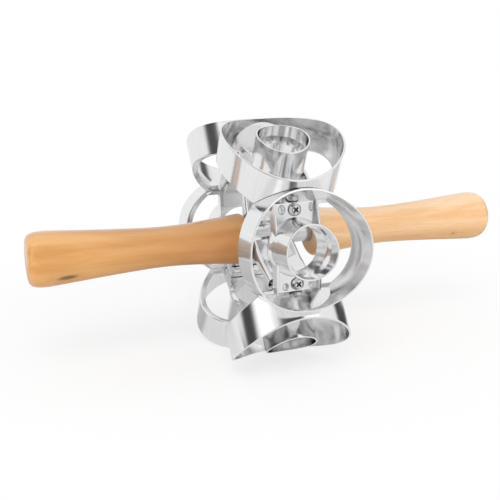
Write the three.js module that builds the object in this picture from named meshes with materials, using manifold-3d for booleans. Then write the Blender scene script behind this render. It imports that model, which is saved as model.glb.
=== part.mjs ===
// A doughnut cutter roller. Ring cutters stand round a cast spider, which spins on a sleeve that
// slides along a steel axle between two turned wooden handles.
// Millimetres, +Z up, X along the axle, origin at the middle of the axle.
import * as THREE from "three";
import { mergeVertices } from "three/addons/utils/BufferGeometryUtils.js";
import Module from "manifold-3d";

const wasm = await Module();
wasm.setup();

// Cutters
const cutterCount = 6;
const frontCutterAngle = THREE.MathUtils.degToRad(6.8); // above the horizontal, at rest
const ringWidth = 90.8; // along the axle
const ringLength = 86; // along the roll: shorter, so that the ring cuts a round as it rolls
const rimSpare = 4.5; // rolling radius beyond the one at which neighbouring rims touch
const lipThickness = 1.4;
const lipDepth = 12;
const shoulderDrop = 1.6;
const wallThickness = 2.8;
const flangeWidth = 4.5;
const mitreWallThickness = 2.4;
const plateThickness = 3.3;
const webWidth = 34.8;
const jointStripWidth = 3.2;
const ribWidth = 2;
const ribHeight = 2; // at the mitre
const ribRootHeight = 7; // at the core
const coreDiameter = 39.3;
const coreSetBack = 1; // how far the core's rim stays inside the rolling radius
const coreLipThickness = 1.3;
const coreWallThickness = 2.2;
const coreFlare = 1.8;
const coreFlareHeight = 11;

// Screws
const screwShankDiameter = 4.4;
const screwHeadDiameter = 9.4;
const screwHeadHeight = 2.5;
const screwHeadEdge = 1.1; // height of the head's straight side
const screwHeadTopDiameter = 5.6;
const screwLength = 6.2;
const screwTipChamfer = 0.66;

// Spider, tie brackets, sleeve and axle
const spokeCount = 3;
const padThickness = 4;
const padWidth = 31;
const padOverlap = 8; // from the screw's axis to the pad's free edge
const hubDiameter = 30.6;
const hubLength = 35;
const spokeWidth = 34; // along the axle
const spokeRootThickness = 16;
const spokeThickness = 9;
const spokeTaperEnd = 32; // radius from the axle's axis at which the spoke's taper ends
const sleeveThickness = 2.2;
const axleDiameter = 14;
const axleChamfer = 1;

// Handles
const handleGap = 54; // between the two handles' inner faces
const handleLength = 161;
const handleInnerDiameter = 38.7;
const handleWaistDiameter = 30;
const handleWaistAt = 64; // from the inner face
const handleMaxDiameter = 39.7;
const handleMaxAt = 147;
const handleEndFlatDiameter = 20;
const handleInnerEdge = 1.6;
const socketDepth = 62;

// Clearances
const seatGap = 0.3;
const runningGap = 0.3;
const mitreGap = 0.3;
const screwGap = 0.3;
const headGap = 0.45; // between a screw's head and the walls beside it
const holeFloor = 0.8; // material left under a blind screw hole

// Facets round each turned shape
const ringSegments = 36;
const coreSegments = 24;
const rollingSegments = 60;
const screwSegments = 12;
const hubSegments = 28;
const handleSegments = 24;
const handleSteps = 10;
const handleEndSteps = 5;
const weldDistance = 1e-4;

// Sizes that follow from those above
const mitreAngle = Math.PI / cutterCount;
const ringRadius = ringLength / 2; // along the roll
const rollingRadius = ringRadius / Math.sin(mitreAngle) + rimSpare;
const shoulderHeight = rollingRadius - lipDepth;
const windowRadius = ringRadius - flangeWidth;
const coreRadius = coreDiameter / 2;
const coreBoreRadius = coreRadius - coreWallThickness;
const screwOffset = coreRadius + coreFlare + headGap + screwHeadDiameter / 2;
const mitreWallInset = mitreGap / 2 + mitreWallThickness;
const headReach = screwOffset + screwHeadDiameter / 2 + headGap;
const screwTop = (headReach + mitreWallInset / Math.cos(mitreAngle)) / Math.tan(mitreAngle);
const plateTop = screwTop - seatGap;
const plateBase = plateTop - plateThickness;
const flangeBase = plateBase / Math.cos(mitreAngle); // radius about the axle's axis
const flangeTop = flangeBase + plateThickness;
const jointReach = plateBase * Math.tan(mitreAngle);
const windowReach = jointReach - jointStripWidth;
const plateReach = plateTop * Math.tan(mitreAngle);
const screwHoleRadius = screwShankDiameter / 2 + screwGap;
const padOuter = plateBase - seatGap;
const padInner = padOuter - padThickness;
const padFreeEdge = screwOffset - padOverlap;
const axleRadius = axleDiameter / 2;
const sleeveBoreRadius = axleRadius + runningGap;
const sleeveRadius = sleeveBoreRadius + sleeveThickness;
const hubBoreRadius = sleeveRadius + runningGap;
const drumCentre = -handleGap / 2 + seatGap + hubLength / 2;
const farOutside = 2 * rollingRadius;

const polishedAluminium = new THREE.MeshStandardMaterial({
  color: 0xdadcde,
  roughness: 0.18,
  metalness: 1,
});
const turnedSteel = new THREE.MeshStandardMaterial({
  color: 0xc4c6c8,
  roughness: 0.25,
  metalness: 1,
});
const brightBrass = new THREE.MeshStandardMaterial({
  color: 0xc9a24e,
  roughness: 0.35,
  metalness: 1,
});
const varnishedBeech = new THREE.MeshStandardMaterial({
  color: 0xe3ae6c,
  roughness: 0.42,
  metalness: 0,
});

// A closed geometry as a solid that can be joined and cut.
function solidOf(geometry) {
  const bare = geometry.clone();
  bare.deleteAttribute("normal");
  bare.deleteAttribute("uv");
  const welded = mergeVertices(bare, weldDistance);
  const corners = welded.index.array;
  const kept = [];
  for (let i = 0; i < corners.length; i += 3) {
    const [a, b, c] = corners.slice(i, i + 3);
    if (a !== b && b !== c && c !== a) kept.push(a, b, c);
  }
  return new wasm.Manifold(
    new wasm.Mesh({
      numProp: 3,
      vertProperties: welded.attributes.position.array,
      triVerts: new Uint32Array(kept),
    }),
  );
}

function meshOf(name, solid, material) {
  const { vertProperties, triVerts } = solid.getMesh();
  const geometry = new THREE.BufferGeometry();
  geometry.setAttribute("position", new THREE.BufferAttribute(vertProperties, 3));
  geometry.setIndex(new THREE.BufferAttribute(triVerts, 1));
  geometry.computeVertexNormals();
  const mesh = new THREE.Mesh(geometry, material);
  mesh.name = name;
  return mesh;
}

// A profile of [radius, height] points turned about Z.
function turned(profile, segments) {
  const points = profile.map(([radius, height]) => new THREE.Vector2(radius, height));
  return new THREE.LatheGeometry(points, segments).rotateX(Math.PI / 2);
}

// The same about X.
function turnedAlongAxle(profile, segments) {
  return turned(profile, segments).rotateY(Math.PI / 2);
}

// A tube's closed profile, from its inner wall round to its outer wall.
function tubeProfile(innerRadius, outerRadius, low, high) {
  return [
    [innerRadius, high],
    [innerRadius, low],
    [outerRadius, low],
    [outerRadius, high],
    [innerRadius, high],
  ];
}

// An outline of [y, z] points swept along X, half to each side.
function sweptAlongAxle(outline, width) {
  const shape = new THREE.Shape(outline.map(([y, z]) => new THREE.Vector2(y, z)));
  const swept = new THREE.ExtrudeGeometry(shape, { depth: width, bevelEnabled: false });
  const turn = new THREE.Matrix4().makeBasis(
    new THREE.Vector3(0, 1, 0),
    new THREE.Vector3(0, 0, 1),
    new THREE.Vector3(1, 0, 0),
  );
  return swept.translate(0, 0, -width / 2).applyMatrix4(turn);
}

function rollingDrum(radius) {
  const drum = new THREE.CylinderGeometry(radius, radius, farOutside, rollingSegments);
  return solidOf(drum.rotateZ(Math.PI / 2));
}

// A screw hole or bore along Z at a tangential offset.
function borer(radius, offset, low, high, segments) {
  const bit = new THREE.CylinderGeometry(radius, radius, high - low, segments);
  return solidOf(bit.rotateX(Math.PI / 2).translate(0, offset, (low + high) / 2));
}

// The wedge between the two mitre planes beside a cutter, its faces set in from them.
function cutterWedge(inset) {
  const tip = inset / Math.sin(mitreAngle);
  const reach = (farOutside - tip) * Math.tan(mitreAngle);
  const outline = [
    [0, tip],
    [reach, farOutside],
    [-reach, farOutside],
  ];
  return solidOf(sweptAlongAxle(outline, farOutside));
}

// A solid turned to the ring's length, stretched along the axle to the ring's width.
function ringWide(solid) {
  return solid.scale([ringWidth / ringLength, 1, 1]);
}

// The ring's wall: a thin lip above a shoulder, and a flange curved about the axle.
function ringWall() {
  const innerWall = ringRadius - wallThickness;
  const lipInside = ringRadius - lipThickness;
  const profile = [
    [innerWall, 0],
    [ringRadius, 0],
    [ringRadius, farOutside],
    [lipInside, farOutside],
    [lipInside, shoulderHeight],
    [innerWall, shoulderHeight - shoulderDrop],
    [innerWall, 0],
  ];
  const tube = ringWide(solidOf(turned(profile, ringSegments)));
  const wall = tube.intersect(rollingDrum(rollingRadius));
  const annulus = tubeProfile(windowRadius, ringRadius, 0, farOutside);
  const flange = ringWide(solidOf(turned(annulus, ringSegments))).intersect(rollingDrum(flangeTop));
  return wall.add(flange).subtract(rollingDrum(flangeBase));
}

// The flat walls that close the ring along the two mitres.
function mitreWalls() {
  const middle = plateTop - plateThickness / 2;
  const insideRing = ringRadius - lipThickness / 2;
  const block = borer(insideRing, 0, middle, shoulderHeight, ringSegments);
  return ringWide(block).subtract(cutterWedge(mitreWallInset));
}

// The doughnut's hole cutter: a tube that flares into the plate.
function coreWall() {
  const lipInside = coreRadius - coreLipThickness;
  const profile = [
    [coreBoreRadius, plateBase],
    [coreRadius + coreFlare, plateBase],
    [coreRadius + coreFlare, plateTop],
    [coreRadius + coreFlare / 3, plateTop + coreFlareHeight / 3],
    [coreRadius, plateTop + coreFlareHeight],
    [coreRadius, farOutside],
    [lipInside, farOutside],
    [lipInside, shoulderHeight],
    [coreBoreRadius, shoulderHeight - shoulderDrop],
    [coreBoreRadius, plateBase],
  ];
  const tube = solidOf(turned(profile, coreSegments));
  return tube.intersect(rollingDrum(rollingRadius - coreSetBack));
}

// The base plate: a web across the middle, and a strip along each mitre that ties it to the ring.
function basePlate() {
  const middle = (plateBase + plateTop) / 2;
  const web = new THREE.BoxGeometry(webWidth, 2 * plateReach, plateThickness);
  let plate = solidOf(web.translate(0, 0, middle));
  const insideRing = ringRadius - lipThickness / 2;
  const disc = ringWide(borer(insideRing, 0, plateBase, plateTop, ringSegments));
  const stripDepth = plateReach - windowReach;
  for (const side of [-1, 1]) {
    const strip = new THREE.BoxGeometry(ringWidth, stripDepth, plateThickness);
    strip.translate(0, side * (windowReach + stripDepth / 2), middle);
    plate = plate.add(solidOf(strip).intersect(disc));
  }
  return plate.subtract(borer(coreRadius, 0, 0, farOutside, coreSegments));
}

// The four ribs along the web's edges, rising from the mitre walls to the core.
function webRibs() {
  const root = Math.sqrt(coreRadius ** 2 - (webWidth / 2) ** 2);
  const outline = [
    [root, plateBase],
    [plateReach, plateBase],
    [plateReach, plateTop + ribHeight],
    [root, plateTop + ribRootHeight],
  ];
  const rib = solidOf(sweptAlongAxle(outline, ribWidth));
  const right = rib.translate([(webWidth - ribWidth) / 2, 0, 0]);
  const pair = right.add(right.mirror([1, 0, 0]));
  return pair.add(pair.mirror([0, 1, 0]));
}

function cutterCasting() {
  const walls = ringWall().add(mitreWalls()).add(coreWall());
  let casting = walls.add(basePlate()).add(webRibs());
  for (const side of [-1, 1]) {
    const hole = borer(screwHoleRadius, side * screwOffset, 0, screwTop, screwSegments);
    casting = casting.subtract(hole);
  }
  return casting.intersect(cutterWedge(mitreGap / 2));
}

// A pan-head screw along Z, its head's underside at screwTop.
function panScrew() {
  const shank = screwShankDiameter / 2;
  const head = screwHeadDiameter / 2;
  const tip = screwTop - screwLength;
  const profile = [
    [0, tip],
    [shank - screwTipChamfer, tip],
    [shank, tip + screwTipChamfer],
    [shank, screwTop],
    [head, screwTop],
    [head, screwTop + screwHeadEdge],
    [screwHeadTopDiameter / 2, screwTop + screwHeadHeight],
    [0, screwTop + screwHeadHeight],
  ];
  return solidOf(turned(profile, screwSegments));
}

// A bent pad under the two plates that meet at a mitre, about Z along that mitre.
function mitrePad() {
  const along = Math.cos(mitreAngle);
  const across = Math.sin(mitreAngle);
  const place = (height, offset) => [
    offset * along - height * across,
    height * along + offset * across,
  ];
  const joint = (height) => height * Math.tan(mitreAngle);
  const half = [
    place(padInner, joint(padInner)),
    place(padInner, padFreeEdge),
    place(padOuter, padFreeEdge),
    place(padOuter, joint(padOuter)),
  ];
  const mirrored = half.slice(1, 3).reverse();
  const outline = [...half, ...mirrored.map(([y, z]) => [-y, z])];
  return solidOf(sweptAlongAxle(outline.reverse(), padWidth));
}

// The blind screw holes of a pad, one to each side of the mitre.
function padHoles() {
  const tilt = THREE.MathUtils.radToDeg(mitreAngle);
  const hole = borer(screwHoleRadius, screwOffset, padInner + holeFloor, plateBase, screwSegments);
  const other = borer(screwHoleRadius, -screwOffset, padInner + holeFloor, plateBase, screwSegments);
  return hole.rotate([tilt, 0, 0]).add(other.rotate([-tilt, 0, 0]));
}

function tieBracket() {
  return mitrePad().subtract(padHoles());
}

// The hub, its wide flat spokes and the pads on their ends.
function spiderCasting() {
  const side = spokeThickness / 2;
  const root = spokeRootThickness / 2;
  const reach = padOuter / Math.cos(mitreAngle);
  const spokeOutline = [
    [-root, 0],
    [root, 0],
    [root, hubBoreRadius],
    [side, spokeTaperEnd],
    [side, reach],
    [-side, reach],
    [-side, spokeTaperEnd],
    [-root, hubBoreRadius],
  ];
  const spoke = solidOf(sweptAlongAxle(spokeOutline, spokeWidth));
  const sides = new THREE.CylinderGeometry(reach, reach, farOutside, cutterCount);
  const padFaces = solidOf(sides.rotateZ(Math.PI / 2));
  const arm = spoke.intersect(padFaces).add(mitrePad()).subtract(padHoles());
  const hub = tubeProfile(hubBoreRadius, hubDiameter / 2, -hubLength / 2, hubLength / 2);
  let spider = solidOf(turnedAlongAxle(hub, hubSegments));
  for (let i = 0; i < spokeCount; i += 1) {
    spider = spider.add(arm.rotate([(360 * i) / spokeCount, 0, 0]));
  }
  const bore = new THREE.CylinderGeometry(hubBoreRadius, hubBoreRadius, farOutside, hubSegments);
  return spider.subtract(solidOf(bore.rotateZ(Math.PI / 2)));
}

function slidingSleeve() {
  const half = hubLength / 2;
  const profile = tubeProfile(sleeveBoreRadius, sleeveRadius, -half, half);
  return solidOf(turnedAlongAxle(profile, hubSegments));
}

function axleRod() {
  const half = handleGap / 2 + socketDepth - seatGap;
  const profile = [
    [0, -half],
    [axleRadius - axleChamfer, -half],
    [axleRadius, -half + axleChamfer],
    [axleRadius, half - axleChamfer],
    [axleRadius - axleChamfer, half],
    [0, half],
  ];
  return solidOf(turnedAlongAxle(profile, hubSegments));
}

// A handle from its inner face at height 0, with a blind socket for the axle.
function handleProfile() {
  const socketRadius = axleRadius + seatGap;
  const innerRadius = handleInnerDiameter / 2;
  const maxRadius = handleMaxDiameter / 2;
  const endFlat = handleEndFlatDiameter / 2;
  const waist = new THREE.SplineCurve([
    new THREE.Vector2(innerRadius, handleInnerEdge),
    new THREE.Vector2(handleWaistDiameter / 2, handleWaistAt),
    new THREE.Vector2(maxRadius, handleMaxAt),
  ]);
  const end = new THREE.CubicBezierCurve(
    new THREE.Vector2(maxRadius, handleMaxAt),
    new THREE.Vector2(maxRadius, (handleMaxAt + handleLength) / 2),
    new THREE.Vector2((maxRadius + endFlat) / 2, handleLength),
    new THREE.Vector2(endFlat, handleLength),
  );
  const side = waist.getPoints(handleSteps).map((point) => [point.x, point.y]);
  const cap = end.getPoints(handleEndSteps).map((point) => [point.x, point.y]);
  return [
    [0, socketDepth],
    [socketRadius, socketDepth],
    [socketRadius, 0],
    [innerRadius - handleInnerEdge, 0],
    ...side,
    ...cap.slice(1),
    [0, handleLength],
  ];
}

function turnedHandle() {
  return solidOf(turnedAlongAxle(handleProfile(), handleSegments));
}

const roller = new THREE.Group();
roller.add(meshOf("axle", axleRod(), turnedSteel));

const rightHandle = meshOf("right_handle", turnedHandle(), varnishedBeech);
rightHandle.position.x = handleGap / 2;
const leftHandle = meshOf("left_handle", turnedHandle(), varnishedBeech);
leftHandle.position.x = -handleGap / 2;
leftHandle.rotation.z = Math.PI;
roller.add(rightHandle, leftHandle);

const drum = new THREE.Group();
drum.position.x = drumCentre;
drum.rotation.x = Math.PI / 2 - frontCutterAngle;
drum.add(meshOf("sliding_sleeve", slidingSleeve(), brightBrass));

const castSpider = new THREE.Group();
castSpider.rotation.x = mitreAngle;
castSpider.add(meshOf("spider", spiderCasting(), polishedAluminium));
drum.add(castSpider);

const casting = cutterCasting();
const screw = panScrew();
const bracket = tieBracket();
const screwPlaces = [
  ["upper", screwOffset],
  ["lower", -screwOffset],
];
for (let i = 0; i < cutterCount; i += 1) {
  const station = new THREE.Group();
  station.rotation.x = -2 * mitreAngle * i;
  station.add(meshOf(`cutter_${i + 1}`, casting, polishedAluminium));
  for (const [place, offset] of screwPlaces) {
    const piece = meshOf(`${place}_screw_${i + 1}`, screw, turnedSteel);
    piece.position.y = offset;
    station.add(piece);
  }
  drum.add(station);
}
const bracketCount = cutterCount - spokeCount;
for (let i = 0; i < bracketCount; i += 1) {
  const station = new THREE.Group();
  station.rotation.x = -mitreAngle - (2 * Math.PI * i) / bracketCount;
  station.add(meshOf(`tie_bracket_${i + 1}`, bracket, polishedAluminium));
  drum.add(station);
}
roller.add(drum);

export default roller;
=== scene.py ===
"""A doughnut cutter roller, modelled round its packed CAD frame.

Six ring cutters stand round a cast spider, which spins on a sleeve that slides along a steel axle
between two turned beech handles. Metres, +Z up, X along the axle.
"""
import math
from contextlib import contextmanager

import bmesh
import bpy
from bpy.props import FloatProperty, FloatVectorProperty, IntProperty, PointerProperty
from mathutils import Matrix, Vector


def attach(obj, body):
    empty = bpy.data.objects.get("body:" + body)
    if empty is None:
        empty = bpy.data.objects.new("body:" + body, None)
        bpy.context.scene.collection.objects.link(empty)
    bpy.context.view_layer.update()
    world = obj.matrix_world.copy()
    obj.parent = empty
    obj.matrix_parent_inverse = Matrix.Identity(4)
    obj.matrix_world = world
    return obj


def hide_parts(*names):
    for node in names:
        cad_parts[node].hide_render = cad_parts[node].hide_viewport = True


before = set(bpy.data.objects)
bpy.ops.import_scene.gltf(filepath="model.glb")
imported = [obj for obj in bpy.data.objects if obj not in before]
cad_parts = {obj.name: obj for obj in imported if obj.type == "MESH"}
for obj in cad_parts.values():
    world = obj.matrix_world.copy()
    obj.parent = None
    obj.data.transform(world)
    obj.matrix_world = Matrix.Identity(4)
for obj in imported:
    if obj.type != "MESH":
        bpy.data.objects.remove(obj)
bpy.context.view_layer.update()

bl_info = {
    "name": "Doughnut Cutter Roller",
    "version": (1, 0, 0),
    "blender": (4, 5, 0),
    "location": "View3D > Sidebar > Roller",
    "description": "Models a doughnut cutter roller round its CAD frame",
    "category": "Add Mesh",
}

CUTTER_COUNT = 6
MITRE = math.pi / CUTTER_COUNT
FRONT_CUTTER_ANGLE = math.radians(6.8)
SPOKE_COUNT = 3
HUB_GAP = 0.0003  # between the hub and the left handle
NEAR = 1e-5  # places closer than this are one
OVERCUT = 0.01  # how far a cutting tool reaches past what it cuts
SINK = 0.001  # how far one solid is let into another, so that no faces coincide


def length(description, millimetres):
    """A size that the panel shows as a length."""
    return FloatProperty(
        description=description,
        default=millimetres / 1000,
        min=0.0,
        precision=5,
        unit="LENGTH",
        subtype="DISTANCE",
    )


def colour(description, value):
    """A linear colour that the panel shows as a swatch."""
    return FloatVectorProperty(
        description=description,
        default=value,
        size=3,
        min=0.0,
        max=1.0,
        subtype="COLOR",
    )


class CutterSizes(bpy.types.PropertyGroup):
    """Sizes of one ring cutter; heights are measured from the axle's axis."""

    ring_width: length("Across the ring, along the axle", 90.8)
    ring_length: length("Across the ring, along the roll", 86)
    rolling_radius: length("From the axle's axis to the ring's rim", 90.5)
    lip_thickness: length("Thickness of the ring's rim", 1.4)
    lip_depth: length("From the rim down to the hollow inside the ring", 16.5)
    hollow_radius: length("Radius of the hollow inside the ring", 28)
    flange_base: length("Radius about the axle of the ring's hub side", 65.2)
    flange_width: length("From the outer wall in to the window", 4.5)
    flange_land: length("Height of the window's straight edge", 1.6)
    rim_rounding: length("Radius along the rims' edges", 0.35)
    base_rounding: length("Radius along the ring's hub-side edge", 1.1)
    core_diameter: length("Across the hole cutter", 39.3)
    core_set_back: length("How far the core's rim stays inside the ring's", 1.0)
    core_lip: length("Thickness of the core's rim", 1.3)
    core_wall: length("Thickness of the core's lower wall", 2.2)
    core_lip_depth: length("From the core's rim down to its inner step", 10.2)
    core_flare: length("How far the core widens at the plate", 1.2)
    core_flare_height: length("Height over which the core widens", 11)
    core_fillet: length("Radius between the core and the plate", 0.6)
    plate_top: length("Height of the plate's outer face", 59.8)
    plate_thickness: length("Thickness of the plate", 3.3)
    web_width: length("Width of the web that carries the core", 34.8)
    window_reach: length("Half the windows' length, along the roll", 29.4)
    window_corner: length("Radius of the windows' corners", 3.0)
    mitre_wall: length("Thickness of the flat walls along the mitres", 2.4)
    mitre_gap: length("Gap between two neighbouring castings", 0.3)
    rib_width: length("Width of the ribs along the web", 2.0)
    rib_height: length("Height of the ribs at the mitre", 2.0)
    rib_root_height: length("Height of the ribs at the core", 7.0)
    ring_segments: IntProperty(description="Facets round the ring", default=192, min=24)


class ScrewSizes(bpy.types.PropertyGroup):
    """Sizes of the pan-head screws."""

    offset: length("From the core's axis to a screw's axis", 26.6)
    seat: length("Height of the head's underside", 60.1)
    head_diameter: length("Across the pan head", 9.4)
    head_height: length("Height of the pan head", 2.5)
    shank_diameter: length("Across the shank", 4.4)
    shank_length: length("From the head's underside to the tip", 6.2)
    recess_span: length("Length of the cross recess's arms", 6.4)
    recess_width: length("Width of the cross recess's arms", 1.6)
    recess_depth: length("Depth of the cross recess", 1.7)
    clearance: length("Room round the head and the shank", 0.4)


class SpiderSizes(bpy.types.PropertyGroup):
    """Sizes of the spider, the tie brackets, the sleeve and the axle."""

    hub_diameter: length("Across the hub", 30.6)
    hub_length: length("Along the axle", 35)
    hub_bore: length("Across the hub's bore", 19.6)
    spoke_width: length("Width of a spoke, along the axle", 34)
    spoke_root: length("Thickness of a spoke where it leaves the hub", 16)
    spoke_thickness: length("Thickness of a spoke's straight part", 9)
    spoke_rounding: length("Radius along the spokes' edges", 3.5)
    taper_end: length("Radius at which the spoke's taper ends", 32)
    pad_thickness: length("Thickness of the bent pads", 4)
    pad_width: length("Width of the bent pads", 31)
    pad_outer: length("Height of the pads' outer faces", 56.2)
    pad_free_edge: length("From the cutter's middle to a pad's edge", 18.6)
    pad_rounding: length("Radius along the pads' edges", 0.7)
    sleeve_bore: length("Across the sleeve's bore", 14.6)
    sleeve_diameter: length("Across the sleeve", 19.0)
    axle_diameter: length("Across the rod", 14)
    axle_half: length("From the axle's middle to its end", 88.7)


class HandleSizes(bpy.types.PropertyGroup):
    """Sizes of the turned handles, measured from each one's inner face."""

    gap: length("Between the two inner faces", 54)
    total: length("Length of one handle", 161)
    inner_diameter: length("At the inner face", 38.7)
    waist_diameter: length("At the waist", 30)
    waist_at: length("From the inner face to the waist", 64)
    max_diameter: length("At the swell near the end", 39.7)
    max_at: length("From the inner face to the swell", 147)
    end_flat: length("Across the flat of the end", 20)
    inner_edge: length("Rounding of the inner face's edge", 4.0)
    socket_diameter: length("Across the axle's socket", 14.6)
    socket_depth: length("Depth of the axle's socket", 62)


class RollerFinish(bpy.types.PropertyGroup):
    """Colours of the finishes."""

    aluminium: colour("Polished cast aluminium", (0.90, 0.90, 0.905))
    hub_aluminium: colour("Polished hub and spokes", (0.86, 0.86, 0.865))
    bracket_aluminium: colour("Satin brackets", (0.96, 0.96, 0.965))
    screw_steel: colour("Bright screws", (0.72, 0.72, 0.725))
    axle_steel: colour("Turned rod", (0.66, 0.66, 0.665))
    brass: colour("Sleeve", (0.78, 0.58, 0.27))
    wood_light: colour("Early wood of the right handle", (0.90, 0.62, 0.37))
    # this colour is also the painted shade on the right handle's underside
    wood_dark_and_under_shade: colour("Late wood of the right handle", (0.79, 0.44, 0.18))
    warm_light: colour("Early wood of the left handle", (0.74, 0.385, 0.125))
    warm_dark: colour("Late wood of the left handle", (0.60, 0.27, 0.06))
    wood_deep: colour("Darker wood near the hub", (0.42, 0.15, 0.03))
    wood_fleck: colour("Short dark flecks of the beech", (0.50, 0.22, 0.07))
    knot: colour("The knots' middles", (0.10, 0.045, 0.02))


# Modelling


def deselect_all():
    """Leaves nothing selected, so that an operator acts only on what is picked next."""
    bpy.ops.object.select_all(action="DESELECT")


def make_active(piece):
    """Selects one piece alone."""
    deselect_all()
    piece.select_set(True)
    bpy.context.view_layer.objects.active = piece


@contextmanager
def editing(piece):
    """Edit mode on one piece, with all of it selected at first."""
    make_active(piece)
    bpy.ops.object.mode_set(mode="EDIT")
    bpy.ops.mesh.select_mode(type="VERT")
    bpy.ops.mesh.select_all(action="SELECT")
    yield
    bpy.ops.object.mode_set(mode="OBJECT")


def round_edges(piece, wanted, radius, steps):
    """Rounds the edges whose two ends satisfy wanted(a, b)."""
    with editing(piece):
        bpy.ops.mesh.select_mode(type="EDGE")
        bpy.ops.mesh.select_all(action="DESELECT")
        shape = bmesh.from_edit_mesh(piece.data)
        for edge in shape.edges:
            edge.select_set(wanted(edge.verts[0].co, edge.verts[1].co))
        bmesh.update_edit_mesh(piece.data)
        bpy.ops.mesh.bevel(offset=radius, segments=steps, affect="EDGES")
    return piece


def new_object(name, add, **values):
    """A new object from one of Blender's own."""
    deselect_all()
    add(**values)
    made = bpy.context.object
    made.name = name
    return made


def modify(piece, kind, **values):
    """Applies one modifier to a piece."""
    make_active(piece)
    bpy.ops.object.modifier_add(type=kind)
    change = piece.modifiers[-1]
    for key, value in values.items():
        setattr(change, key, value)
    bpy.ops.object.modifier_apply(modifier=change.name)
    return piece


def filleted(corners, steps=5):
    """A profile's points from corners of (radius, height, rounding), each corner rounded."""
    points = []
    count = len(corners)
    for i, (radius, height, rounding) in enumerate(corners):
        here = Vector((radius, height))
        before = Vector(corners[i - 1][:2]) - here
        after = Vector(corners[(i + 1) % count][:2]) - here
        if rounding == 0 or before.length == 0 or after.length == 0:
            points.append(here)
            continue
        before.normalize()
        after.normalize()
        half = before.angle(after) / 2
        reach = rounding / math.tan(half)
        centre = here + (before + after).normalized() * rounding / math.sin(half)
        start = here + before * reach - centre
        sweep = start.angle_signed(here + after * reach - centre)
        for k in range(steps + 1):
            points.append(centre + Matrix.Rotation(-sweep * k / steps, 2) @ start)
    return points


def chain(name, places):
    """A new piece of points, each joined to the next."""
    piece = new_object(name, bpy.ops.mesh.primitive_plane_add, size=0.01)
    with editing(piece):
        bpy.ops.mesh.merge(type="CENTER")
        bpy.ops.transform.translate(value=places[0])
        for here, there in zip(places, places[1:]):
            step = {"value": there - here}
            bpy.ops.mesh.extrude_vertices_move(TRANSFORM_OT_translate=step)
    return piece


def turned_piece(name, profile, segments, along_axle=False):
    """A profile of (radius, height) points spun about Z, or about X for a piece along the axle."""
    if along_axle:
        places = [Vector((height, 0, radius)) for radius, height in profile]
        axis = (1, 0, 0)
    else:
        places = [Vector((radius, 0, height)) for radius, height in profile]
        axis = (0, 0, 1)
    piece = chain(name, places)
    with editing(piece):
        bpy.ops.mesh.spin(steps=segments, angle=math.tau, center=(0, 0, 0), axis=axis)
        bpy.ops.mesh.select_all(action="SELECT")
        bpy.ops.mesh.remove_doubles(threshold=1e-6)
        bpy.ops.mesh.normals_make_consistent(inside=False)
    return piece


def turned_section(name, corners, segments, steps=5, along_axle=False):
    """A ring turned from a closed section with rounded corners."""
    points = filleted(corners, steps)
    return turned_piece(name, [*points, points[0]], segments, along_axle)


def tube_along_axle(name, bore, diameter, width, edges, segments):
    """A tube along the axle, with the edges of its bore and of its outside rounded."""
    inner, outer = edges
    corners = [
        (bore / 2, -width / 2, inner),
        (diameter / 2, -width / 2, outer),
        (diameter / 2, width / 2, outer),
        (bore / 2, width / 2, inner),
    ]
    return turned_section(name, corners, segments, along_axle=True)


def swept_along_axle(name, outline, width):
    """An outline of (tangential, radial) points drawn out along the axle."""
    piece = chain(name, [Vector((-width / 2, *point)) for point in outline])
    with editing(piece):
        bpy.ops.mesh.edge_face_add()
        bpy.ops.mesh.extrude_region_move(TRANSFORM_OT_translate={"value": (width, 0, 0)})
        bpy.ops.mesh.select_all(action="SELECT")
        bpy.ops.mesh.normals_make_consistent(inside=False)
    return piece


def block(name, low, high):
    """A box from its lowest to its highest corner."""
    low, high = Vector(low), Vector(high)
    piece = new_object(name, bpy.ops.mesh.primitive_cube_add, size=1)
    with editing(piece):
        bpy.ops.transform.resize(value=high - low)
        bpy.ops.transform.translate(value=(low + high) / 2)
    return piece


def rod(name, radius, low, high, segments, offset=0.0):
    """A cylinder along Z at a tangential offset."""
    add = bpy.ops.mesh.primitive_cylinder_add
    piece = new_object(name, add, vertices=segments, radius=radius, depth=high - low)
    with editing(piece):
        bpy.ops.transform.translate(value=(0, offset, (low + high) / 2))
    return piece


def combine(piece, tool, operation):
    """Joins a tool to a piece or cuts the piece with it, which uses the tool up."""
    modify(piece, "BOOLEAN", operation=operation, solver="EXACT", object=tool)
    shape = tool.data
    bpy.data.objects.remove(tool)
    bpy.data.meshes.remove(shape)


def slice_off(piece, point, normal):
    """Takes away what lies beyond a plane and closes the cut."""
    with editing(piece):
        bpy.ops.mesh.bisect(
            plane_co=point, plane_no=normal, use_fill=True, clear_outer=True, threshold=1e-7
        )
    return piece


def smooth(piece, angle=math.radians(32)):
    """Smooth shading that keeps the sharp edges and the flat faces true."""
    with editing(piece):
        bpy.ops.mesh.remove_doubles(threshold=2e-6)
    bpy.ops.object.shade_smooth_by_angle(angle=angle)
    return modify(piece, "WEIGHTED_NORMAL", keep_sharp=True)


def keep_bench_place(piece):
    """Keeps each point's place on the bench, which the finishes' patterns follow."""
    places = piece.data.attributes.new("bench", "FLOAT_VECTOR", "POINT")
    for point, place in zip(piece.data.vertices, places.data):
        place.vector = point.co


def copy_of(piece, name):
    """A copy of a piece with a mesh of its own."""
    make_active(piece)
    bpy.ops.object.duplicate(linked=False)
    twin = bpy.context.object
    twin.name = name
    return twin


def apply_place(piece):
    """Puts a piece's place into its mesh, which leaves its object at the origin."""
    make_active(piece)
    bpy.ops.object.transform_apply(location=True, rotation=True, scale=True)


def put(piece, turn, shift=(0, 0, 0)):
    """Turns a piece about the axle and moves it."""
    piece.rotation_euler = (turn, 0, 0)
    piece.location = shift
    apply_place(piece)


def station_turn(number):
    """How far the drum's Z axis turns about the axle to stand along a cutter."""
    return math.pi / 2 - FRONT_CUTTER_ANGLE - 2 * MITRE * number


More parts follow.
